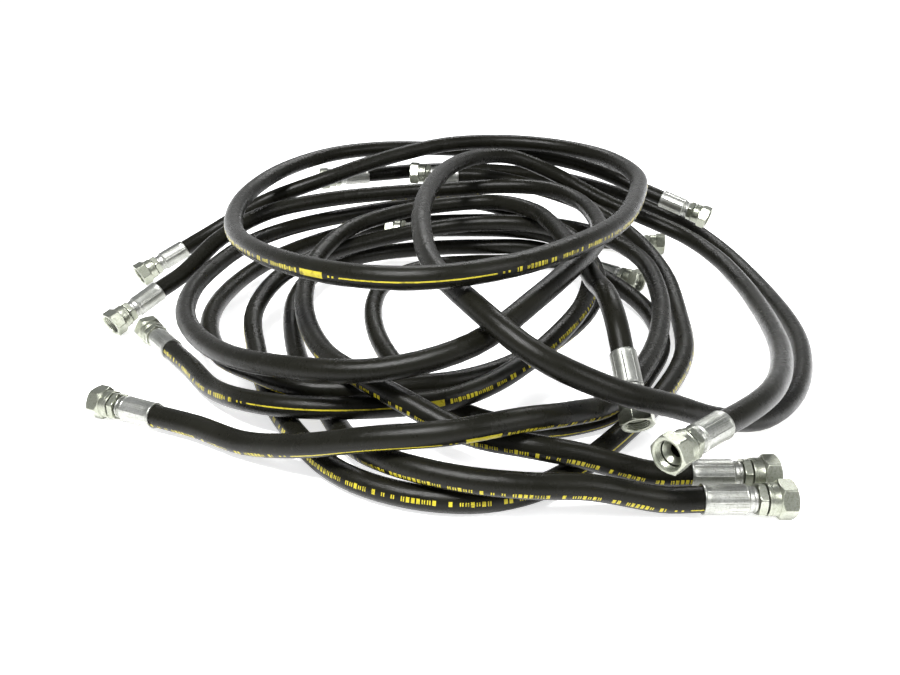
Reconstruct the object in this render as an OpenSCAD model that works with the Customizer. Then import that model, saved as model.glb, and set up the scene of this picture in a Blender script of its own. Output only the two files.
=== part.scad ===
// Heap of seven hydraulic hose assemblies, each with a swivel fitting crimped on both ends.
// Millimetres, +Z up. The floor is z = 0 and the origin is under the middle of the heap.

/* [Hose] */
// Outside diameter of the rubber hose
hose_od = 24; // [23:0.5:24]
// Bore of the hose, five eighths of an inch
hose_bore = 16; // [15.5:0.1:16]
// Number of sides of a hose
hose_sides = 8; // [8:2:12]
// Rings of a hose for each point of its route
rings_per_point = 2; // [1:1:2]

/* [Ferrule] */
// Outside diameter of the crimped ferrule
ferrule_od = 28; // [27:0.1:28]
// Distance across the crimp flats
ferrule_flats = 27.3; // [27:0.1:27.8]
// Length of the crimped part of the ferrule
ferrule_len = 40; // [39:0.5:41]
// Length of the stepped neck behind the crimped part
neck_len = 8; // [7:0.5:8]
// Outside diameter of the neck
neck_od = 24; // [23:0.5:25]

/* [Nipple] */
// Diameter of the shank and of the throat that the nut turns on
shank_od = 19; // [18.5:0.1:19.2]
// Through bore of the nipple
nipple_bore = 12.5; // [12:0.1:13]
// Distance across the flats of the hex collar
collar_af = 27; // [26:0.5:28]
// Thickness of the hex collar
collar_len = 7; // [6.5:0.1:7]
// Outside diameter of the seat head inside the nut
head_od = 23.6; // [23:0.1:23.8]
// Half angle of the flared seat
seat_angle = 37; // [36:1:38]

/* [Swivel nut] */
// Distance across the flats of the nut
nut_af = 32; // [31:0.5:32]
// Length of the nut
nut_len = 25.5; // [25:0.5:26]
// Outside diameter of the nut's round skirt
skirt_od = 30; // [29:0.5:31]
// Length of the skirt
skirt_len = 10; // [9:0.5:10]
// Minor diameter of the thread, 1-1/16 inch, 12 to the inch
thread_minor = 24.7; // [24.5:0.1:24.9]
// Clearance on radius between the nut and the throat
swivel_gap = 0.05; // [0.03:0.01:0.08]

/* [Hidden] */
$fn = 96;
// Places along a fitting's axis, from the end of the hose towards the mouth
end_wall = 3;                                    // solid wall at the end of the crimped part
tail_start = 4;                                  // hose bore before the barbed tail begins
barb_pitch = 6;
barb_count = 4;
barb_step = 0.5;
collar_z = ferrule_len + neck_len + 0.3;
nut_z = collar_z + collar_len + 1.2;
fitting_len = nut_z + nut_len;
nut_wall = 5;                                    // rear wall of the nut, which runs on the throat
nut_cone = 3;                                    // conical floor of the nut's hollow
relief_od = 26;                                  // smooth hollow round the head, behind the thread
thread_z = nut_z + 17.5;
head_z = nut_z + nut_wall + nut_cone + 1.5;
head_len = 7.5;
seat_rim = head_od - 2.2;
seat_depth = (seat_rim - nipple_bore) / 2 / tan(seat_angle);
chamfer = 1.5;
steel = [0.74, 0.75, 0.70];
nut_steel = [0.70, 0.71, 0.63];
rubber = [0.06, 0.06, 0.065];

// Routes of the seven hoses. The first and last points are the two ends of the hose,
// and each fitting points straight on from the two points nearest to it.
route_1 = [
    [350, 265, 100], [314, 286, 112], [255, 330, 130], [190, 365, 142], [100, 388, 150], [0, 394, 154],
    [-110, 382, 158], [-200, 332, 158], [-264, 250, 152], [-294, 150, 146], [-294, 40, 144], [-264, -80, 148],
    [-205, -190, 160], [-120, -280, 172], [-30, -312, 178], [60, -284, 180], [140, -208, 178], [204, -105, 172],
    [252, 30, 168], [276, 150, 166], [250, 265, 168], [180, 330, 172], [90, 352, 175], [-10, 338, 173],
    [-110, 306, 156], [-205, 264, 132], [-290, 240, 106], [-345, 228, 79], [-384, 208, 59], [-420, 177, 42.5]];
route_2 = [
    [244, -412, 75], [271, -389, 74], [296, -364, 72], [322, -330, 68], [350, -278, 61], [378, -205, 52],
    [398, -122, 44], [410, -46, 39], [416, 36, 38], [408, 120, 44], [378, 192, 56], [325, 235, 72],
    [255, 268, 95], [175, 300, 132], [105, 300, 160], [45, 256, 170], [5, 180, 174],
    [-20, 90, 174], [-34, -10, 170], [-34, -110, 164],
    [-18, -215, 156], [24, -316, 151], [80, -376, 127], [148, -386, 97], [214, -362, 66], [272, -332, 34],
    [332, -300, 16], [388, -240, 13], [432, -150, 13], [456, -50, 13], [462, 90, 15], [440, 220, 30],
    [390, 310, 52], [310, 358, 78], [215, 374, 102], [120, 376, 116], [20, 364, 124], [-60, 352, 125],
    [-100, 342, 124], [-140, 332, 123]];
route_3 = [
    [-403, 1, 40.5], [-375, 38, 55], [-340, 110, 82], [-282, 184, 100], [-195, 228, 108], [-100, 252, 112],
    [0, 262, 116], [90, 258, 122], [160, 222, 126], [198, 150, 124], [206, 50, 124], [186, -60, 134],
    [148, -165, 144], [90, -262, 137], [22, -330, 116], [-65, -348, 98], [-160, -320, 86], [-250, -248, 68],
    [-316, -150, 60], [-340, -50, 60], [-330, 45, 64], [-300, 125, 70], [-245, 200, 72], [-165, 258, 74],
    [-70, 300, 78], [30, 314, 80], [100, 312, 66], [150, 308, 42], [195, 302, 22], [240, 296, 16],
    [285, 290, 16]];
route_4 = [
    [225, -442, 16], [187, -442, 16], [125, -448, 33], [65, -452, 38], [5, -442, 39], [-55, -412, 36],
    [-98, -355, 20], [-130, -285, 13], [-172, -195, 15], [-202, -95, 20], [-216, 10, 26], [-200, 110, 27],
    [-140, 182, 28], [-50, 212, 30], [50, 212, 34], [145, 180, 40], [228, 95, 26], [272, -5, 16],
    [268, -112, 13], [226, -206, 13], [178, -280, 13], [124, -310, 13], [70, -314, 13], [20, -290, 13],
    [-22, -245, 13], [-60, -188, 16], [-92, -110, 24], [-104, -20, 30], [-88, 65, 32], [-30, 130, 30],
    [36, 168, 22], [80, 196, 13], [124, 207, 13], [165, 202, 13], [198, 184, 16], [228, 155, 16]];
route_5 = [
    [225, -402, 16], [192, -402, 16], [157, -402, 25], [121, -403, 37], [75, -400, 45], [15, -378, 46],
    [-45, -342, 60], [-95, -302, 68], [-138, -240, 64], [-172, -150, 62], [-190, -50, 64], [-188, 60, 72],
    [-150, 155, 84], [-70, 212, 94], [20, 228, 102], [84, 208, 108], [128, 150, 111], [146, 80, 112],
    [156, 0, 113], [164, -80, 115], [168, -158, 117], [172, -212, 121], [175, -256, 110], [178, -290, 87]];
route_6 = [
    [-312, -296, 16], [-262, -318, 16], [-205, -352, 18], [-140, -388, 38], [-75, -412, 60], [0, -420, 72],
    [66, -398, 72], [118, -362, 58], [166, -312, 41], [212, -240, 40], [254, -145, 40], [282, -30, 46],
    [280, 85, 58], [232, 190, 62], [150, 262, 58], [50, 296, 52], [-60, 302, 46], [-170, 266, 42],
    [-262, 170, 36], [-310, 60, 30], [-316, -60, 28], [-278, -168, 28], [-214, -238, 37], [-160, -274, 38],
    [-100, -278, 38], [-40, -270, 38], [20, -254, 38], [75, -215, 38], [130, -150, 38], [178, -75, 42],
    [206, 15, 52], [197, 100, 64], [156, 172, 66], [95, 222, 59], [30, 248, 52], [-25, 250, 51]];
route_7 = [
    [-346, -134, 15], [-310, -178, 14], [-266, -240, 18], [-210, -296, 34], [-142, -320, 40], [-70, -318, 40],
    [0, -300, 39], [60, -262, 46], [118, -196, 58], [168, -105, 68], [190, 0, 78], [174, 105, 88],
    [118, 172, 84], [30, 192, 78], [-70, 182, 66], [-170, 132, 56], [-238, 50, 48], [-260, -50, 32],
    [-236, -150, 18], [-206, -235, 13], [-166, -315, 13], [-112, -390, 13], [-50, -428, 13], [18, -440, 13],
    [76, -424, 13], [126, -385, 13], [180, -322, 13], [240, -240, 13], [290, -140, 14], [312, -25, 18],
    [318, 92, 34], [285, 195, 62], [215, 266, 92], [130, 304, 112], [60, 310, 125], [15, 312, 127]];

// Shift that brings the middle of the box round all the fittings over the origin
heap_shift = [32, 66, 0];
routes = [for (route = [route_1, route_2, route_3, route_4, route_5, route_6, route_7])
    [for (point = route) point + heap_shift]];

function unit(v) = v / norm(v);
function last(list) = list[len(list) - 1];
function reversed(list) = [for (i = [len(list) - 1 : -1 : 0]) list[i]];

// The route with one extra point beyond each end, so that the curve leaves the fittings straight
function extended(p) = concat([2 * p[0] - p[1]], p, [2 * last(p) - p[len(p) - 2]]);

// Point of the curve between b and c, whose neighbours are a and d
function curve_point(a, b, c, d, t) =
    0.5 * (2 * b + (c - a) * t + (2 * a - 5 * b + 4 * c - d) * t * t + (3 * b - a - 3 * c + d) * t * t * t);

// Smooth path through the route's points
function smooth(route) =
    let (q = extended(route))
    concat(
        [for (i = [1 : len(q) - 3], k = [0 : rings_per_point - 1])
            curve_point(q[i - 1], q[i], q[i + 1], q[i + 2], k / rings_per_point)],
        [last(route)]);

// Direction of a route's path at its point i; both ends are square to the fittings
function heading(path, route, i) =
    i == 0 ? unit(route[1] - route[0])
    : i == len(path) - 1 ? unit(last(route) - route[len(route) - 2])
    : unit(unit(path[i + 1] - path[i]) + unit(path[i] - path[i - 1]));

// Ring of points round the path at its point i, one of them straight below
function ring(path, route, i) =
    let (forward = heading(path, route, i),
         side = unit(cross(forward, [0, 0, 1])),
         up = cross(side, forward))
    [for (k = [0 : hose_sides - 1])
        let (turn = -90 + 360 * k / hose_sides)
        path[i] + hose_od / 2 * (cos(turn) * side + sin(turn) * up)];

// Hose along a route, as one closed tube with flat ends
module hose(route) {
    path = smooth(route);
    rings = len(path);
    points = [for (i = [0 : rings - 1]) each ring(path, route, i)];
    walls = [for (i = [0 : rings - 2], k = [0 : hose_sides - 1])
        let (a = i * hose_sides + k,
             b = i * hose_sides + (k + 1) % hose_sides)
        each [[a, b, b + hose_sides], [a, b + hose_sides, a + hose_sides]]];
    start_cap = [for (k = [hose_sides - 1 : -1 : 0]) k];
    end_cap = [for (k = [0 : hose_sides - 1]) (rings - 1) * hose_sides + k];
    color(rubber) polyhedron(points, concat([start_cap], walls, [end_cap]), convexity = 10);
}

// Places a fitting on the first end of a route, its axis along the hose
module on_end(route) {
    axis = unit(route[0] - route[1]);
    translate(route[0]) rotate([0, acos(axis.z), atan2(axis.y, axis.x)]) children();
}

module bar(z0, z1, d) {
    translate([0, 0, z0]) cylinder(d = d, h = z1 - z0);
}

module hex_bar(z0, z1, across_flats) {
    translate([0, 0, z0]) cylinder(d = across_flats / cos(30), h = z1 - z0, $fn = 6);
}

// Hose end inside the ferrule, squeezed between the ferrule and the barbed tail
module hose_end() {
    color(rubber) difference() {
        bar(0, ferrule_len - end_wall, hose_od);
        bar(-1, ferrule_len, hose_bore);
    }
}

// Ferrule: a shell with eight crimp flats, a solid end wall and a stepped neck
module ferrule() {
    step = neck_len / 2;
    color(steel) difference() {
        union() {
            intersection() {
                bar(0, ferrule_len, ferrule_od);
                rotate(22.5) translate([0, 0, -1])
                    cylinder(d = ferrule_flats / cos(22.5), h = ferrule_len + 2, $fn = 8);
            }
            bar(ferrule_len, ferrule_len + step, neck_od);
            bar(ferrule_len + step, ferrule_len + step + 1, neck_od - 2);
            bar(ferrule_len + step + 1, ferrule_len + neck_len, neck_od - 0.6);
        }
        bar(-1, ferrule_len - end_wall, hose_od);
        bar(0, ferrule_len + neck_len + 1, shank_od);
    }
}

// Nipple: barbed tail, shank, hex collar, throat and the head with its flared seat
module nipple() {
    tail_end = tail_start + barb_pitch * barb_count;
    wall_start = ferrule_len - end_wall;
    head_end = head_z + head_len;
    barbs = [for (i = [0 : barb_count - 1])
        let (z = tail_start + i * barb_pitch)
        each [[hose_bore / 2 - barb_step, z], [hose_bore / 2, z + barb_pitch]]];
    outside = concat(
        [[0, tail_start]],
        barbs,
        [[hose_bore / 2, wall_start], [shank_od / 2, wall_start], [shank_od / 2, head_z - 2],
         [head_od / 2, head_z], [head_od / 2, head_end], [0, head_end]]);
    inside = [
        [0, tail_start - 1], [nipple_bore / 2, tail_start - 1], [nipple_bore / 2, head_end - seat_depth],
        [seat_rim / 2, head_end], [seat_rim / 2, head_end + 1], [0, head_end + 1]];
    color(nut_steel) difference() {
        union() {
            rotate_extrude() polygon(outside);
            hex_bar(collar_z, collar_z + collar_len, collar_af);
        }
        rotate_extrude() polygon(inside);
    }
}

// Swivel nut: a round skirt and a hexagon with turned corners, a bore that runs on the throat, a hollow for the
// head and the thread's bore. One of its flats faces the floor.
module nut() {
    corner = nut_af / cos(30) / 2;
    throat = shank_od / 2 + swivel_gap;
    end = nut_z + nut_len;
    cone_z = nut_z + nut_wall;
    skirt_end = nut_z + skirt_len;
    outside = [
        [0, nut_z], [skirt_od / 2 - 1, nut_z], [skirt_od / 2, nut_z + 1], [skirt_od / 2, skirt_end],
        [corner + 0.1, skirt_end + 3], [corner + 0.1, end - chamfer], [corner - 2 * chamfer, end], [0, end]];
    inside = [
        [0, nut_z - 1], [throat, nut_z - 1], [throat, cone_z], [relief_od / 2, cone_z + nut_cone],
        [relief_od / 2, thread_z], [thread_minor / 2, thread_z], [thread_minor / 2, end - chamfer],
        [thread_minor / 2 + chamfer, end], [thread_minor / 2 + chamfer, end + 1], [0, end + 1]];
    color(nut_steel) difference() {
        intersection() {
            rotate(30) hex_bar(nut_z - 1, end + 1, nut_af);
            rotate_extrude() polygon(outside);
        }
        rotate_extrude() polygon(inside);
    }
}

// One hose's two ends, as a pair of separate solids
module both_ends(route) {
    on_end(route) children();
    on_end(reversed(route)) children();
}

// Node names: the piece, the number of its hose, and a or b for the hose's first or last end
ends = ["a", "b"];
numbers = [1 : len(routes)];

for (n = numbers) {
    hose(routes[n - 1]);
    both_ends(routes[n - 1]) hose_end();
    for (end = ends) {
        route = end == "a" ? routes[n - 1] : reversed(routes[n - 1]);
        on_end(route) ferrule();
        on_end(route) nipple();
        on_end(route) nut();
    }
}
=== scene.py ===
# Heap of seven hydraulic hose assemblies: the looks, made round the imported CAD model.
# Metres, +Z up. The floor is z = 0.
import math

import bpy
from mathutils import Matrix, Vector


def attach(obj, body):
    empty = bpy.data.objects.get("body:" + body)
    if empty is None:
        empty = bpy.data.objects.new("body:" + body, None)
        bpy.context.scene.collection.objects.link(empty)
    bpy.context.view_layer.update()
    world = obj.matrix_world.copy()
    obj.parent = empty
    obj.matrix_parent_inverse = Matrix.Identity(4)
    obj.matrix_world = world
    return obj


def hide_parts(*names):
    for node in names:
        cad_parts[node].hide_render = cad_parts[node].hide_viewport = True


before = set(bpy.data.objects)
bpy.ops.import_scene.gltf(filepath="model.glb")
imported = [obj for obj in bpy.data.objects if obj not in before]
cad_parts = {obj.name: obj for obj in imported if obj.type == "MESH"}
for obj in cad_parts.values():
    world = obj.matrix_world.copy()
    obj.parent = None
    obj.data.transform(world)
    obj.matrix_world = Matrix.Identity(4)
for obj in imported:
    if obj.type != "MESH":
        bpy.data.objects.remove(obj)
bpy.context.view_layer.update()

MM = 0.001

# Sizes of the hose and its fittings in millimetres, as the CAD model has them. Every z is measured
# along the fitting, from the end of the hose towards the mouth.
HOSE_R = 12.0
FERRULE_LEN = 40.0
FERRULE_FLATS = 8
PANEL_R = 13.55                  # where the ferrule's wall is pressed flat
END_WALL = 3.0
NECK_END = FERRULE_LEN + 8.0
SHANK_R = 9.5
TAIL_Z = 4.0
TAIL_R = 7.95
BARBS = 4
BARB_ROOT_R = 7.5
BARB_PITCH = 6.0
NIPPLE_BORE_R = 6.25
COLLAR_Z = NECK_END + 0.3
COLLAR_END = COLLAR_Z + 7.0
COLLAR_FLAT = 13.5
COLLAR_CORNER = 15.5
NUT_Z = COLLAR_END + 1.2
NUT_END = NUT_Z + 25.5
NUT_FLAT = 16.0
SKIRT_R = 15.0
SKIRT_END = NUT_Z + 10.0
THROAT_R = 9.55
THROAT_END = NUT_Z + 5.0
RELIEF_Z = THROAT_END + 3.0
RELIEF_R = 13.0
HEAD_Z = RELIEF_Z + 1.5
HEAD_END = HEAD_Z + 7.5
HEAD_R = 11.8
SEAT_RIM_R = 10.7
SEAT_ANGLE = math.radians(37)
THREAD_Z = NUT_Z + 17.5
THREAD_MINOR_R = 12.35
THREAD_MAJOR_R = 13.3
THREAD_PITCH = 2.117
THREAD_ROWS = 6                  # rows of the mesh for each turn of the thread
CORNER_ROUNDING = 0.25           # how far the corners of a hexagon are rounded down

CURVE_STEPS = 5                  # rings of a hose between two points of its route
HOSE_SIDES = 32
SHARP_ANGLE = math.radians(32)

# The print on a hose in millimetres: where its marks lie along one repeat of it, and how far each
# kind of mark reaches to either side of its middle. The blocks stand in cells of one pitch.
PRINT_REPEAT = 640.0
LINE_SPAN = (0.0, 150.0)
LINE_REACH = 0.75
DOT_STARTS = (156.0, 161.0, 626.0, 632.0)
DOT_LEN = 2.2
DOT_REACH = 1.1
BAR_SPAN = (170.0, 202.0)
BAR_REACH = 3.4
BLOCKS_SPAN = (208.0, 618.0)
BLOCK_PITCH = 4.6
BLOCK_REACH = 1.7                # of the lowest block; the highest reaches 1 further
BLOCK_IN_CELL = (0.12, 0.80)     # part of its cell that a block takes up
SPLIT_IN_CELL = (0.36, 0.56)     # part that is left out in a split block
SPLIT_SHARE = 0.6                # share of the blocks that are split
EMPTY_SHARE = 0.16               # share of the cells that are empty

# The rubber's wrapped cloth texture
WEAVE_TURN = 4.4                 # radians of the weave's wave for each millimetre
WRAP_PITCH = 37.7                # millimetres between two edges of the wrap
WRAP_SLANT = 0.5                 # how much an edge moves along the hose on its way round

# Routes of the seven hoses. Each fitting points straight on from the two points nearest to it.
HEAP_SHIFT = Vector((0.032, 0.066, 0.0))
ROUTE_1 = [
    (0.350, 0.265, 0.100), (0.314, 0.286, 0.112), (0.255, 0.330, 0.130), (0.190, 0.365, 0.142),
    (0.100, 0.388, 0.150), (0.000, 0.394, 0.154), (-0.110, 0.382, 0.158), (-0.200, 0.332, 0.158),
    (-0.264, 0.250, 0.152), (-0.294, 0.150, 0.146), (-0.294, 0.040, 0.144), (-0.264, -0.080, 0.148),
    (-0.205, -0.190, 0.160), (-0.120, -0.280, 0.172), (-0.030, -0.312, 0.178), (0.060, -0.284, 0.180),
    (0.140, -0.208, 0.178), (0.204, -0.105, 0.172), (0.252, 0.030, 0.168), (0.276, 0.150, 0.166),
    (0.250, 0.265, 0.168), (0.180, 0.330, 0.172), (0.090, 0.352, 0.175), (-0.010, 0.338, 0.173),
    (-0.110, 0.306, 0.156), (-0.205, 0.264, 0.132), (-0.290, 0.240, 0.106), (-0.345, 0.228, 0.079),
    (-0.384, 0.208, 0.059), (-0.420, 0.177, 0.0425)]
ROUTE_2 = [
    (0.244, -0.412, 0.075), (0.271, -0.389, 0.074), (0.296, -0.364, 0.072), (0.322, -0.330, 0.068),
    (0.350, -0.278, 0.061), (0.378, -0.205, 0.052), (0.398, -0.122, 0.044), (0.410, -0.046, 0.039),
    (0.416, 0.036, 0.038), (0.408, 0.120, 0.044), (0.378, 0.192, 0.056), (0.325, 0.235, 0.072),
    (0.255, 0.268, 0.095), (0.175, 0.300, 0.132), (0.105, 0.300, 0.160), (0.045, 0.256, 0.170),
    (0.005, 0.180, 0.174), (-0.020, 0.090, 0.174), (-0.034, -0.010, 0.170), (-0.034, -0.110, 0.164),
    (-0.018, -0.215, 0.156), (0.024, -0.316, 0.151), (0.080, -0.376, 0.127), (0.148, -0.386, 0.097),
    (0.214, -0.362, 0.066), (0.272, -0.332, 0.034), (0.332, -0.300, 0.016), (0.388, -0.240, 0.013),
    (0.432, -0.150, 0.013), (0.456, -0.050, 0.013), (0.462, 0.090, 0.015), (0.440, 0.220, 0.030),
    (0.390, 0.310, 0.052), (0.310, 0.358, 0.078), (0.215, 0.374, 0.102), (0.120, 0.376, 0.116),
    (0.020, 0.364, 0.124), (-0.060, 0.352, 0.125), (-0.100, 0.342, 0.124), (-0.140, 0.332, 0.123)]
ROUTE_3 = [
    (-0.403, 0.001, 0.0405), (-0.375, 0.038, 0.055), (-0.340, 0.110, 0.082), (-0.282, 0.184, 0.100),
    (-0.195, 0.228, 0.108), (-0.100, 0.252, 0.112), (0.000, 0.262, 0.116), (0.090, 0.258, 0.122),
    (0.160, 0.222, 0.126), (0.198, 0.150, 0.124), (0.206, 0.050, 0.124), (0.186, -0.060, 0.134),
    (0.148, -0.165, 0.144), (0.090, -0.262, 0.137), (0.022, -0.330, 0.116), (-0.065, -0.348, 0.098),
    (-0.160, -0.320, 0.086), (-0.250, -0.248, 0.068), (-0.316, -0.150, 0.060), (-0.340, -0.050, 0.060),
    (-0.330, 0.045, 0.064), (-0.300, 0.125, 0.070), (-0.245, 0.200, 0.072), (-0.165, 0.258, 0.074),
    (-0.070, 0.300, 0.078), (0.030, 0.314, 0.080), (0.100, 0.312, 0.066), (0.150, 0.308, 0.042),
    (0.195, 0.302, 0.022), (0.240, 0.296, 0.016), (0.285, 0.290, 0.016)]
ROUTE_4 = [
    (0.225, -0.442, 0.016), (0.187, -0.442, 0.016), (0.125, -0.448, 0.033), (0.065, -0.452, 0.038),
    (0.005, -0.442, 0.039), (-0.055, -0.412, 0.036), (-0.098, -0.355, 0.020), (-0.130, -0.285, 0.013),
    (-0.172, -0.195, 0.015), (-0.202, -0.095, 0.020), (-0.216, 0.010, 0.026), (-0.200, 0.110, 0.027),
    (-0.140, 0.182, 0.028), (-0.050, 0.212, 0.030), (0.050, 0.212, 0.034), (0.145, 0.180, 0.040),
    (0.228, 0.095, 0.026), (0.272, -0.005, 0.016), (0.268, -0.112, 0.013), (0.226, -0.206, 0.013),
    (0.178, -0.280, 0.013), (0.124, -0.310, 0.013), (0.070, -0.314, 0.013), (0.020, -0.290, 0.013),
    (-0.022, -0.245, 0.013), (-0.060, -0.188, 0.016), (-0.092, -0.110, 0.024), (-0.104, -0.020, 0.030),
    (-0.088, 0.065, 0.032), (-0.030, 0.130, 0.030), (0.036, 0.168, 0.022), (0.080, 0.196, 0.013),
    (0.124, 0.207, 0.013), (0.165, 0.202, 0.013), (0.198, 0.184, 0.016), (0.228, 0.155, 0.016)]
ROUTE_5 = [
    (0.225, -0.402, 0.016), (0.192, -0.402, 0.016), (0.157, -0.402, 0.025), (0.121, -0.403, 0.037),
    (0.075, -0.400, 0.045), (0.015, -0.378, 0.046), (-0.045, -0.342, 0.060), (-0.095, -0.302, 0.068),
    (-0.138, -0.240, 0.064), (-0.172, -0.150, 0.062), (-0.190, -0.050, 0.064), (-0.188, 0.060, 0.072),
    (-0.150, 0.155, 0.084), (-0.070, 0.212, 0.094), (0.020, 0.228, 0.102), (0.084, 0.208, 0.108),
    (0.128, 0.150, 0.111), (0.146, 0.080, 0.112), (0.156, 0.000, 0.113), (0.164, -0.080, 0.115),
    (0.168, -0.158, 0.117), (0.172, -0.212, 0.121), (0.175, -0.256, 0.110), (0.178, -0.290, 0.087)]
ROUTE_6 = [
    (-0.312, -0.296, 0.016), (-0.262, -0.318, 0.016), (-0.205, -0.352, 0.018), (-0.140, -0.388, 0.038),
    (-0.075, -0.412, 0.060), (0.000, -0.420, 0.072), (0.066, -0.398, 0.072), (0.118, -0.362, 0.058),
    (0.166, -0.312, 0.041), (0.212, -0.240, 0.040), (0.254, -0.145, 0.040), (0.282, -0.030, 0.046),
    (0.280, 0.085, 0.058), (0.232, 0.190, 0.062), (0.150, 0.262, 0.058), (0.050, 0.296, 0.052),
    (-0.060, 0.302, 0.046), (-0.170, 0.266, 0.042), (-0.262, 0.170, 0.036), (-0.310, 0.060, 0.030),
    (-0.316, -0.060, 0.028), (-0.278, -0.168, 0.028), (-0.214, -0.238, 0.037), (-0.160, -0.274, 0.038),
    (-0.100, -0.278, 0.038), (-0.040, -0.270, 0.038), (0.020, -0.254, 0.038), (0.075, -0.215, 0.038),
    (0.130, -0.150, 0.038), (0.178, -0.075, 0.042), (0.206, 0.015, 0.052), (0.197, 0.100, 0.064),
    (0.156, 0.172, 0.066), (0.095, 0.222, 0.059), (0.030, 0.248, 0.052), (-0.025, 0.250, 0.051)]
ROUTE_7 = [
    (-0.346, -0.134, 0.015), (-0.310, -0.178, 0.014), (-0.266, -0.240, 0.018), (-0.210, -0.296, 0.034),
    (-0.142, -0.320, 0.040), (-0.070, -0.318, 0.040), (0.000, -0.300, 0.039), (0.060, -0.262, 0.046),
    (0.118, -0.196, 0.058), (0.168, -0.105, 0.068), (0.190, 0.000, 0.078), (0.174, 0.105, 0.088),
    (0.118, 0.172, 0.084), (0.030, 0.192, 0.078), (-0.070, 0.182, 0.066), (-0.170, 0.132, 0.056),
    (-0.238, 0.050, 0.048), (-0.260, -0.050, 0.032), (-0.236, -0.150, 0.018), (-0.206, -0.235, 0.013),
    (-0.166, -0.315, 0.013), (-0.112, -0.390, 0.013), (-0.050, -0.428, 0.013), (0.018, -0.440, 0.013),
    (0.076, -0.424, 0.013), (0.126, -0.385, 0.013), (0.180, -0.322, 0.013), (0.240, -0.240, 0.013),
    (0.290, -0.140, 0.014), (0.312, -0.025, 0.018), (0.318, 0.092, 0.034), (0.285, 0.195, 0.062),
    (0.215, 0.266, 0.092), (0.130, 0.304, 0.112), (0.060, 0.310, 0.125), (0.015, 0.312, 0.127)]

# For each hose: its route, where the printed line lies (degrees from the top, towards the right of
# the way the route runs), whether the print runs with the route (1) or against it (-1), and how far
# along its pattern the print is at the route's start, in metres.
HOSES = {
    1: (ROUTE_1, 90, -1, 0.188),
    2: (ROUTE_2, 185, 1, 0.30),
    3: (ROUTE_3, 160, 1, 0.00),
    4: (ROUTE_4, -108, -1, 0.012),
    5: (ROUTE_5, -98, -1, 0.60),
    6: (ROUTE_6, 118, 1, 0.45),
    7: (ROUTE_7, 72, 1, 0.42),
}

# ---------------------------------------------------------------- camera

def make_camera():
    """Camera in front of the heap, 0.45 m above the floor and looking 25 degrees down."""
    data = bpy.data.cameras.new("camera")
    data.lens = 32.0
    data.sensor_width = 36.0
    data.clip_start = 0.02
    data.clip_end = 60.0
    camera = bpy.data.objects.new("camera", data)
    bpy.context.scene.collection.objects.link(camera)
    camera.location = Vector((0.0, -1.03, 0.45)) + HEAP_SHIFT
    camera.rotation_euler = (math.radians(90.0 - 25.0), 0.0, 0.0)
    bpy.context.scene.camera = camera


# ---------------------------------------------------------------- meshes

def new_piece(name, points, faces, material):
    """Object with a mesh, smooth but for its sharp edges."""
    mesh = bpy.data.meshes.new(name)
    mesh.from_pydata([tuple(p) for p in points], [], faces)
    mesh.materials.append(material)
    mesh.polygons.foreach_set("use_smooth", [True] * len(mesh.polygons))
    mesh.set_sharp_from_angle(angle=SHARP_ANGLE)
    piece = bpy.data.objects.new(name, mesh)
    bpy.context.scene.collection.objects.link(piece)
    return piece


def curve_point(a, b, c, d, t):
    """Point of the curve between b and c, whose neighbours are a and d."""
    return 0.5 * (2 * b + (c - a) * t + (2 * a - 5 * b + 4 * c - d) * t * t
                  + (3 * b - a - 3 * c + d) * t ** 3)


def centreline(route):
    """Fine smooth line through a route's points, straight at both ends."""
    points = [Vector(p) + HEAP_SHIFT for p in route]
    points = [2 * points[0] - points[1], *points, 2 * points[-1] - points[-2]]
    line = [curve_point(*points[i - 1:i + 3], k / CURVE_STEPS)
            for i in range(1, len(points) - 2) for k in range(CURVE_STEPS)]
    return line + [points[-2]]


def heading(line, route, i):
    """Direction of a route's line at its point i; both ends are square to the fittings."""
    if i == 0:
        return (Vector(route[1]) - Vector(route[0])).normalized()
    if i == len(line) - 1:
        return (Vector(route[-1]) - Vector(route[-2])).normalized()
    return ((line[i + 1] - line[i]).normalized() + (line[i] - line[i - 1]).normalized()).normalized()


def distances(line):
    """Distance of each point along the line, from its start."""
    along = [0.0]
    for a, b in zip(line, line[1:]):
        along.append(along[-1] + (b - a).length)
    return along


def make_hose(number):
    """Hose as a closed tube. Its UV map holds the distance along it in metres and the share of a
    turn round it, with the printed line at one half."""
    route, line_angle, way, shift = HOSES[number]
    line = centreline(route)
    along = distances(line)
    points = []
    for i, centre in enumerate(line):
        forward = heading(line, route, i)
        side = forward.cross(Vector((0, 0, 1))).normalized()
        up = side.cross(forward)
        for k in range(HOSE_SIDES):
            turn = math.radians(line_angle + 180 + 360 * k / HOSE_SIDES)
            points.append(centre + HOSE_R * MM * (math.cos(turn) * up + math.sin(turn) * side))
    faces, uvs = [], []
    for i in range(len(line) - 1):
        for k in range(HOSE_SIDES):
            a, b = i * HOSE_SIDES + k, i * HOSE_SIDES + (k + 1) % HOSE_SIDES
            faces.append((a, a + HOSE_SIDES, b + HOSE_SIDES, b))
            u0, u1 = way * along[i] + shift, way * along[i + 1] + shift
            v0, v1 = k / HOSE_SIDES, (k + 1) / HOSE_SIDES
            uvs += [(u0, v0), (u1, v0), (u1, v1), (u0, v1)]
    last = (len(line) - 1) * HOSE_SIDES
    faces.append(tuple(range(HOSE_SIDES)))
    faces.append(tuple(range(last + HOSE_SIDES - 1, last - 1, -1)))
    uvs += [(0.0, 0.0)] * (2 * HOSE_SIDES)
    piece = new_piece(f"rubber_hose_{number}", points, faces, RUBBER)
    layer = piece.data.uv_layers.new(name="hose")
    layer.data.foreach_set("uv", [x for uv in uvs for x in uv])
    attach(piece, "root")
    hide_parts(f"hose_{number}")
    return piece, line, along[-1]


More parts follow.
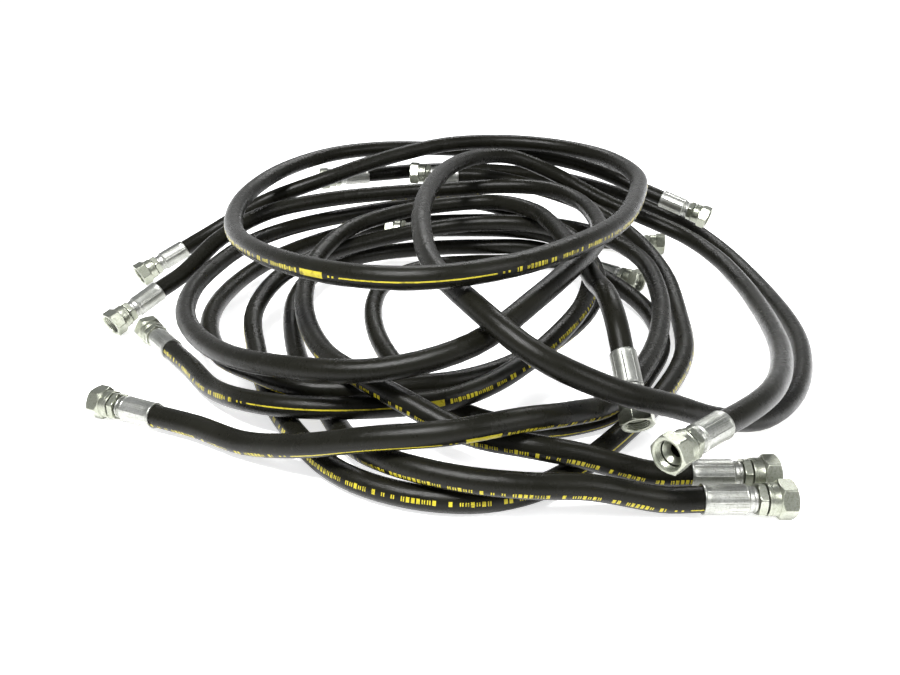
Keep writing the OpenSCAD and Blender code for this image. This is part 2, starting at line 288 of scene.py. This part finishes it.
def fitting_frame(route, end):
    """Matrix that places a fitting: its own +Z runs from the hose's end to the mouth, and its own
    +X is as near as it can be to straight down."""
    start, inner = (route[0], route[1]) if end == "a" else (route[-1], route[-2])
    axis = (Vector(start) - Vector(inner)).normalized()
    tilt = Matrix.Rotation(math.acos(axis.z), 4, "Y")
    turn = Matrix.Rotation(math.atan2(axis.y, axis.x), 4, "Z")
    return Matrix.Translation(Vector(start) + HEAP_SHIFT) @ turn @ tilt


def turned(name, outline, angles, radius, place, material):
    """Closed ring-shaped piece: the outline, a loop of (r, z) in millimetres, swept round the axis.
    radius(r, z, angle) may change r. The attribute "own" keeps each point as it was before place
    moved it, for the materials."""
    own = []
    for angle in angles:
        for r, z in outline:
            grown = radius(r, z, angle)
            own.append((grown * math.cos(angle), grown * math.sin(angle), z))
    rows, count = len(outline), len(angles)
    faces = []
    for j in range(count):
        for i in range(rows):
            a, b = j * rows + i, j * rows + (i + 1) % rows
            c, d = (j + 1) % count * rows + (i + 1) % rows, (j + 1) % count * rows + i
            faces.append((a, b, c, d))
    piece = new_piece(name, [place @ (Vector(p) * MM) for p in own], faces, material)
    attribute = piece.data.attributes.new("own", "FLOAT_VECTOR", "POINT")
    attribute.data.foreach_set("vector", [x for p in own for x in p])
    return piece


def flat_angles(count, first, near):
    """Angles round a ring with count flats, the first one's middle at first degrees. They stand at
    the middle of each flat and at near, a list of degrees from its corners."""
    half = 180 / count
    steps = sorted({half - x for x in near} | {-half + x for x in near} | {0.0})
    return [math.radians(first + 360 * n / count + s) for n in range(count) for s in steps]


def from_flat(angle, count, first):
    """Angle from the middle of the nearest of count flats, in radians."""
    step = 2 * math.pi / count
    return (angle - math.radians(first) + step / 2) % step - step / 2


def make_ferrule(name, place):
    """Crimped ferrule: eight long flats pressed between low ridges, a round lip at the hose, a
    rounded shoulder and a stepped, grooved neck."""
    flat_start, flat_end = 2.6, 38.5
    flat_half = 19.0             # degrees from the middle of a flat to where the ridge begins
    ridge_half = 3.5             # degrees from there to the top of the ridge
    outline = [
        (HOSE_R, 0.0), (13.2, 0.0), (13.8, 0.35), (14.0, 0.9), (14.0, 2.0), (13.9, 2.6), (13.9, 3.6),
        *[(13.9, z) for z in (8.0, 14.0, 20.0, 26.0, 32.0, 36.5, 37.5, 38.4)],
        (13.5, 39.3), (12.7, 39.9), (12.2, 40.3), (12.0, 41.0), (12.0, 43.4),
        (11.7, 43.9), (11.2, 44.1), (11.2, 44.9), (11.7, 45.1), (11.95, 45.6), (11.95, 47.0),
        (11.6, 47.7), (10.9, NECK_END), (SHANK_R, NECK_END), (SHANK_R, FERRULE_LEN - END_WALL),
        (HOSE_R, FERRULE_LEN - END_WALL)]

    def pressed(r, z, angle):
        if r <= HOSE_R or not flat_start < z < flat_end:
            return r
        away = abs(math.degrees(from_flat(angle, FERRULE_FLATS, 0)))
        ridge = max(0.0, (away - flat_half) / ridge_half)
        depth = min(1.0, z - flat_start, flat_end - z)
        return r - depth * (r - PANEL_R) * (1 - ridge * ridge)

    angles = flat_angles(FERRULE_FLATS, 0, [0.0, 1.0, 2.2, 3.4, 4.6, 8.0, 14.0])
    return turned(name, outline, angles, pressed, place, FERRULE_METAL)


def hexagon(flat, first):
    """Function that gives the radius of a hexagon with rounded corners at an angle."""
    corner = flat / math.cos(math.radians(30)) - CORNER_ROUNDING
    return lambda angle: min(flat / math.cos(from_flat(angle, 6, first)), corner)


def make_nipple(name, place):
    """Nipple: barbed tail in the hose, shank, hex collar with turned corners, throat and the head
    with its flared seat. Its bore has a near-black metal as painted shade."""
    starts = [TAIL_Z + BARB_PITCH * barb for barb in range(BARBS)]
    barbs = [point for z in starts for point in ((BARB_ROOT_R, z), (TAIL_R, z + BARB_PITCH - 0.1))]
    seat_bottom = HEAD_END - (SEAT_RIM_R - NIPPLE_BORE_R) / math.tan(SEAT_ANGLE)
    outline = [
        (NIPPLE_BORE_R, TAIL_Z), *barbs, (TAIL_R, TAIL_Z + BARB_PITCH * BARBS),
        (TAIL_R, FERRULE_LEN - END_WALL), (SHANK_R, FERRULE_LEN - END_WALL), (SHANK_R, COLLAR_Z),
        (COLLAR_CORNER - 1.5, COLLAR_Z), (COLLAR_CORNER - 0.5, COLLAR_Z + 0.5),
        (COLLAR_CORNER, COLLAR_Z + 1.1), (COLLAR_CORNER, COLLAR_END - 1.1),
        (COLLAR_CORNER - 0.5, COLLAR_END - 0.5), (COLLAR_CORNER - 1.5, COLLAR_END),
        (SHANK_R, COLLAR_END), (SHANK_R, HEAD_Z - 2), (HEAD_R - 0.2, HEAD_Z), (HEAD_R, HEAD_Z + 0.4),
        (HEAD_R, HEAD_END - 0.6), (HEAD_R - 0.6, HEAD_END), (SEAT_RIM_R + 0.15, HEAD_END),
        (SEAT_RIM_R - 0.15, HEAD_END - 0.2), (NIPPLE_BORE_R + 0.3, seat_bottom + 0.4),
        (NIPPLE_BORE_R, seat_bottom - 0.2)]
    collar = hexagon(COLLAR_FLAT, 30)

    def hexed(r, z, angle):
        return min(r, collar(angle))

    angles = flat_angles(6, 30, [0.6, 1.8, 4.0, 8.0, 14.0, 21.0])
    piece = turned(name, outline, angles, hexed, place, NUT_METAL)
    # The bore's faces get a second, near-black metal: painted shade for the dark inside of the tube.
    piece.data.materials.append(SHADE_PAINTED_BORE_METAL)
    bore = len(outline) - 1
    for face in piece.data.polygons:
        if face.index % len(outline) == bore:
            face.material_index = 1
    return piece


def thread_wall(start, end):
    """Points of the threaded wall, from the mouth inwards."""
    count = round((end - start) / THREAD_PITCH * THREAD_ROWS)
    return [(THREAD_MINOR_R, end + (start - end) * i / count) for i in range(count + 1)]


def make_nut(name, place):
    """Swivel nut: a round skirt with a groove, a hexagon whose corners are turned at both ends, and
    inside it the throat, the hollow for the head and the thread."""
    corner = NUT_FLAT / math.cos(math.radians(30))
    rise = [(SKIRT_R + 0.25 * i, SKIRT_END + 0.22 * i) for i in range(1, 16)]
    fall = [(corner - 0.2 * i, NUT_END - 1.9 + 0.16 * i) for i in range(12)]
    outline = [
        (THROAT_R, NUT_Z), (13.8, NUT_Z), (14.6, NUT_Z + 0.3), (SKIRT_R, NUT_Z + 0.9),
        (SKIRT_R, NUT_Z + 2.5), (14.6, NUT_Z + 2.9), (14.6, NUT_Z + 3.7), (SKIRT_R, NUT_Z + 4.1),
        (SKIRT_R, SKIRT_END - 0.6), (SKIRT_R - 0.1, SKIRT_END), *rise,
        (corner, NUT_Z + 13.9), (corner, NUT_Z + 17.5), (corner, NUT_Z + 21.5), *fall,
        (15.4, NUT_END - 0.1), (15.0, NUT_END), (14.2, NUT_END), (13.9, NUT_END - 0.15),
        *thread_wall(THREAD_Z, NUT_END - 1.0),
        (THREAD_MINOR_R + 0.3, THREAD_Z - 0.4), (RELIEF_R, THREAD_Z - 0.5), (RELIEF_R, RELIEF_Z),
        (THROAT_R + 0.2, THROAT_END), (THROAT_R, THROAT_END - 0.3)]
    body = hexagon(NUT_FLAT, 0)

    def shaped(r, z, angle):
        if r != THREAD_MINOR_R:
            return min(r, body(angle))
        phase = (z / THREAD_PITCH - angle / (2 * math.pi)) % 1.0
        depth = max(0.0, 1 - abs(phase - 0.5) / 0.42)
        fade = max(0.0, min(1.0, (z - THREAD_Z) / 0.8, (NUT_END - 0.6 - z) / 0.8))
        return r + (THREAD_MAJOR_R - THREAD_MINOR_R) * depth * fade

    angles = flat_angles(6, 0, [0.5, 1.4, 3.0, 6.0, 10.0, 15.0, 20.0, 25.0])
    return turned(name, outline, angles, shaped, place, NUT_METAL)


def make_fitting(number, end):
    """The ferrule, nipple and swivel nut on one end of a hose."""
    place = fitting_frame(HOSES[number][0], end)
    key = f"{number}{end}"
    made = []
    for make, shown, node, body, slot in (
            (make_ferrule, "crimped_ferrule", "ferrule", "root", "plated_ferrule"),
            (make_nipple, "seat_nipple", "nipple", "root", "plated_nipple"),
            (make_nut, "swivel_nut", "nut", f"nut_{key}", "plated_nut")):
        piece = make(f"{shown}_{key}", place)
        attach(piece, body)
        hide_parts(f"{node}_{key}")
        made.append(piece)
    return made


# ---------------------------------------------------------------- materials

def new_material(name):
    """Material, its node tree and its shader."""
    material = bpy.data.materials.new(name)
    material.use_nodes = True
    tree = material.node_tree
    return material, tree, tree.nodes["Principled BSDF"]


def add(tree, kind, values=None, **settings):
    """Node with its settings and inputs. An input is a value or the socket to join to it."""
    node = tree.nodes.new(kind)
    for key, value in settings.items():
        setattr(node, key, value)
    for key, value in (values or {}).items():
        if isinstance(value, bpy.types.NodeSocket):
            tree.links.new(value, node.inputs[key])
        else:
            node.inputs[key].default_value = value
    return node


def calculated(tree, operation, *values):
    """Output of a math node."""
    return add(tree, "ShaderNodeMath", dict(enumerate(values)), operation=operation).outputs[0]


def total(tree, *values):
    """Sum of the values."""
    result = values[0]
    for value in values[1:]:
        result = calculated(tree, "ADD", result, value)
    return result


def product(tree, *values):
    """Product of the values."""
    result = values[0]
    for value in values[1:]:
        result = calculated(tree, "MULTIPLY", result, value)
    return result


def mixed(tree, factor, first, second):
    """Colour between two colours."""
    node = add(tree, "ShaderNodeMix", {"Factor": factor}, data_type="RGBA")
    for socket, value in ((node.inputs[6], first), (node.inputs[7], second)):
        if isinstance(value, bpy.types.NodeSocket):
            tree.links.new(value, socket)
        else:
            socket.default_value = (*value, 1.0)
    return node.outputs[2]


def scaled(tree, value, low, high):
    """Value from 0 to 1 stretched to run from low to high."""
    node = add(tree, "ShaderNodeMapRange", {"Value": value, "To Min": low, "To Max": high})
    return node.outputs["Result"]


def ramp(tree, value, low, high):
    """0 where the value is low or less, 1 where it is high or more, and even in between."""
    node = add(tree, "ShaderNodeMapRange", {"Value": value, "From Min": low, "From Max": high})
    return node.outputs["Result"]


def between(tree, value, low, high):
    """1 where the value is between low and high, else 0."""
    above = calculated(tree, "GREATER_THAN", value, low)
    return product(tree, above, calculated(tree, "LESS_THAN", value, high))


def noise(tree, vector, scale, detail=3.0, roughness=0.5):
    """Soft random pattern, mostly near one half."""
    inputs = {"Vector": vector, "Scale": scale, "Detail": detail, "Roughness": roughness}
    return add(tree, "ShaderNodeTexNoise", inputs).outputs["Fac"]


def chance(tree, number):
    """Random value from 0 to 1 for a number."""
    return add(tree, "ShaderNodeTexWhiteNoise", {"W": number}, noise_dimensions="1D").outputs["Value"]


def join_bump(tree, shader, height, strength, distance):
    """Give the shader a bumpy surface."""
    inputs = {"Height": height, "Strength": strength, "Distance": distance}
    bump = add(tree, "ShaderNodeBump", inputs)
    tree.links.new(bump.outputs["Normal"], shader.inputs["Normal"])


def print_mask(tree, along, across):
    """Where the yellow print is: plain generic marks in a line along the hose. Both distances are
    in millimetres. It repeats: a thin line, two dots, a bar, a row of blocks and two dots."""
    share = calculated(tree, "FRACT", calculated(tree, "DIVIDE", along, PRINT_REPEAT))
    place = product(tree, share, PRINT_REPEAT)
    off = calculated(tree, "ABSOLUTE", across)

    def mark(span, reach):
        return product(tree, between(tree, place, *span), calculated(tree, "LESS_THAN", off, reach))

    dots = [mark((start, start + DOT_LEN), DOT_REACH) for start in DOT_STARTS]

    cell = calculated(tree, "DIVIDE", place, BLOCK_PITCH)
    number = calculated(tree, "FLOOR", cell)
    inside = calculated(tree, "FRACT", cell)
    filled = calculated(tree, "GREATER_THAN", chance(tree, number), EMPTY_SHARE)
    kind = chance(tree, total(tree, number, 500.5))
    split = calculated(tree, "LESS_THAN", kind, SPLIT_SHARE)
    gap = product(tree, between(tree, inside, *SPLIT_IN_CELL), split)
    solid = calculated(tree, "SUBTRACT", 1.0, gap)
    blocks = product(tree, mark(BLOCKS_SPAN, total(tree, kind, BLOCK_REACH)),
                     between(tree, inside, *BLOCK_IN_CELL), solid, filled)

    marks = total(tree, mark(LINE_SPAN, LINE_REACH), mark(BAR_SPAN, BAR_REACH), *dots, blocks)
    return calculated(tree, "MINIMUM", marks, 1.0)


def make_rubber():
    """Black rubber cover: cloth-wrapped texture, wrap edges, scuffs, dust and the yellow print."""
    material, tree, shader = new_material("wrapped_rubber")
    uv = add(tree, "ShaderNodeUVMap", uv_map="hose").outputs["UV"]
    place = add(tree, "ShaderNodeSeparateXYZ", {"Vector": uv})
    along = product(tree, place.outputs["X"], 1 / MM)
    turn = calculated(tree, "SUBTRACT", place.outputs["Y"], 0.5)
    across = product(tree, turn, 2 * math.pi * HOSE_R)
    world = add(tree, "ShaderNodeTexCoord").outputs["Object"]

    one_way = product(tree, total(tree, along, across), WEAVE_TURN)
    other_way = product(tree, calculated(tree, "SUBTRACT", along, across), WEAVE_TURN)
    weave = product(tree, calculated(tree, "SINE", one_way), calculated(tree, "SINE", other_way))
    wraps = calculated(tree, "DIVIDE", total(tree, along, product(tree, across, WRAP_SLANT)), WRAP_PITCH)
    wrap_edge = calculated(tree, "POWER", calculated(tree, "FRACT", wraps), 14.0)
    grain = noise(tree, world, 420.0, 4.0, 0.65)
    lumps = noise(tree, world, 26.0, 3.0)
    scuffs = noise(tree, world, 75.0, 6.0, 0.72)

    normal = add(tree, "ShaderNodeNewGeometry").outputs["Normal"]
    up = add(tree, "ShaderNodeSeparateXYZ", {"Vector": normal}).outputs["Z"]
    dust = product(tree, scaled(tree, up, 0.0, 1.0), scaled(tree, lumps, 0.1, 1.0))
    scuffed = ramp(tree, scuffs, 0.62, 0.80)
    black = mixed(tree, lumps, (0.0030, 0.0030, 0.0018), (0.0065, 0.0064, 0.0042))
    black = mixed(tree, product(tree, dust, 0.08), black, (0.05, 0.049, 0.040))
    black = mixed(tree, product(tree, scuffed, 0.16), black, (0.09, 0.09, 0.082))
    left = scaled(tree, ramp(tree, scuffs, 0.36, 0.48), 0.35, 1.0)
    ink = product(tree, print_mask(tree, along, across), left)
    yellow = mixed(tree, lumps, (0.30, 0.25, 0.012), (0.46, 0.39, 0.030))
    tree.links.new(mixed(tree, ink, black, yellow), shader.inputs["Base Color"])

    rough = scaled(tree, product(tree, scuffs, lumps), 0.20, 0.52)
    tree.links.new(rough, shader.inputs["Roughness"])
    shader.inputs["IOR"].default_value = 1.22
    height = total(tree, product(tree, weave, 0.25), product(tree, wrap_edge, 1.2),
                   product(tree, grain, 0.8), product(tree, lumps, 3.0))
    join_bump(tree, shader, height, 0.35, 0.0003)
    return material


def make_metal(name, tints, rough, streaks):
    """Zinc plated steel: patches of two tints, stains and tool marks of a third. streaks stretches
    the tool marks: round the axis where it is over 1, along it where it is under 1."""
    material, tree, shader = new_material(name)
    own = add(tree, "ShaderNodeAttribute", attribute_name="own").outputs["Vector"]
    world = add(tree, "ShaderNodeTexCoord").outputs["Object"]
    stretch = {"Vector": own, "Scale": (1.0, 1.0, streaks)}
    drawn = add(tree, "ShaderNodeMapping", stretch).outputs["Vector"]
    marks = noise(tree, drawn, 0.9, 5.0, 0.7)
    patches = noise(tree, world, 38.0, 3.0, 0.6)
    spots = noise(tree, own, 0.45, 6.0, 0.75)

    stained = ramp(tree, spots, 0.49, 0.66)
    scored = ramp(tree, marks, 0.50, 0.64)
    body = mixed(tree, scaled(tree, patches, -0.4, 1.4), tints[0], tints[1])
    body = mixed(tree, product(tree, stained, 0.6), body, tints[2])
    body = mixed(tree, product(tree, scored, 0.65), body, tints[2])
    tree.links.new(body, shader.inputs["Base Color"])

    shader.inputs["Metallic"].default_value = 1.0
    uneven = total(tree, product(tree, marks, 0.6), product(tree, spots, 0.4))
    tree.links.new(scaled(tree, uneven, rough - 0.12, rough + 0.16), shader.inputs["Roughness"])
    join_bump(tree, shader, total(tree, marks, product(tree, spots, 0.5)), 0.45, 0.00016)
    return material


# ---------------------------------------------------------------- floor and light

def make_floor():
    """Wide pale floor that glows a little, so that it shows white."""
    half = 20.0
    material, tree, shader = new_material("pale_floor")
    shader.inputs["Base Color"].default_value = (0.96, 0.96, 0.96, 1.0)
    shader.inputs["Roughness"].default_value = 0.8
    shader.inputs["Emission Color"].default_value = (1.0, 1.0, 1.0, 1.0)
    shader.inputs["Emission Strength"].default_value = 0.68
    corners = [(-half, -half, 0.0), (half, -half, 0.0), (half, half, 0.0), (-half, half, 0.0)]
    floor = new_piece("floor", corners, [(0, 1, 2, 3)], material)


def make_light(name, place, target, size, watts):
    """Soft rectangular light that faces a point."""
    data = bpy.data.lights.new(name, "AREA")
    data.shape = "RECTANGLE"
    data.size, data.size_y = size
    data.energy = watts
    light = bpy.data.objects.new(name, data)
    bpy.context.scene.collection.objects.link(light)
    light.location = place
    light.rotation_euler = (Vector(target) - Vector(place)).to_track_quat("-Z", "Y").to_euler()


def make_surroundings():
    """Pale light from all round, brightest at the horizon, shown without a film-like curve."""
    world = bpy.data.worlds.new("studio")
    bpy.context.scene.world = world
    world.use_nodes = True
    tree = world.node_tree
    direction = add(tree, "ShaderNodeTexCoord").outputs["Generated"]
    height = add(tree, "ShaderNodeSeparateXYZ", {"Vector": direction}).outputs["Z"]
    colour = mixed(tree, ramp(tree, height, 0.0, 0.4), (1.0, 1.0, 1.0), (0.38, 0.39, 0.41))
    tree.links.new(colour, tree.nodes["Background"].inputs["Color"])
    bpy.context.scene.view_settings.view_transform = "Standard"


make_camera()
RUBBER = make_rubber()
FERRULE_METAL = make_metal(
    "plated_ferrule_steel", [(0.30, 0.31, 0.28), (0.50, 0.50, 0.48), (0.14, 0.145, 0.115)], 0.38, 0.05)
NUT_METAL = make_metal(
    "plated_nut_steel", [(0.26, 0.275, 0.22), (0.45, 0.46, 0.40), (0.14, 0.15, 0.10)], 0.32, 6.0)
# Near-black metal for the nipple's bore: painted shade for the dark inside of the tube.
SHADE_PAINTED_BORE_METAL = make_metal(
    "bore_steel_painted_shade", [(0.010, 0.010, 0.008), (0.020, 0.020, 0.016), (0.006, 0.006, 0.005)], 0.50, 6.0)

for number in HOSES:
    hose, line, length = make_hose(number)
    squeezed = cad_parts[f"hose_ends_{number}"]
    for slot in squeezed.material_slots:
        slot.material = RUBBER
    with_pieces = make_fitting(number, "a") + make_fitting(number, "b") + [squeezed]

make_floor()
make_surroundings()
make_light("key", (-0.6, -1.0, 2.0), (0.0, 0.0, 0.1), (0.6, 0.4), 95)
make_light("fill", (1.6, -1.2, 1.4), (0.0, 0.0, 0.1), (0.4, 0.9), 22)
make_light("back", (0.4, 2.0, 1.9), (0.0, 0.0, 0.1), (2.0, 0.2), 40)
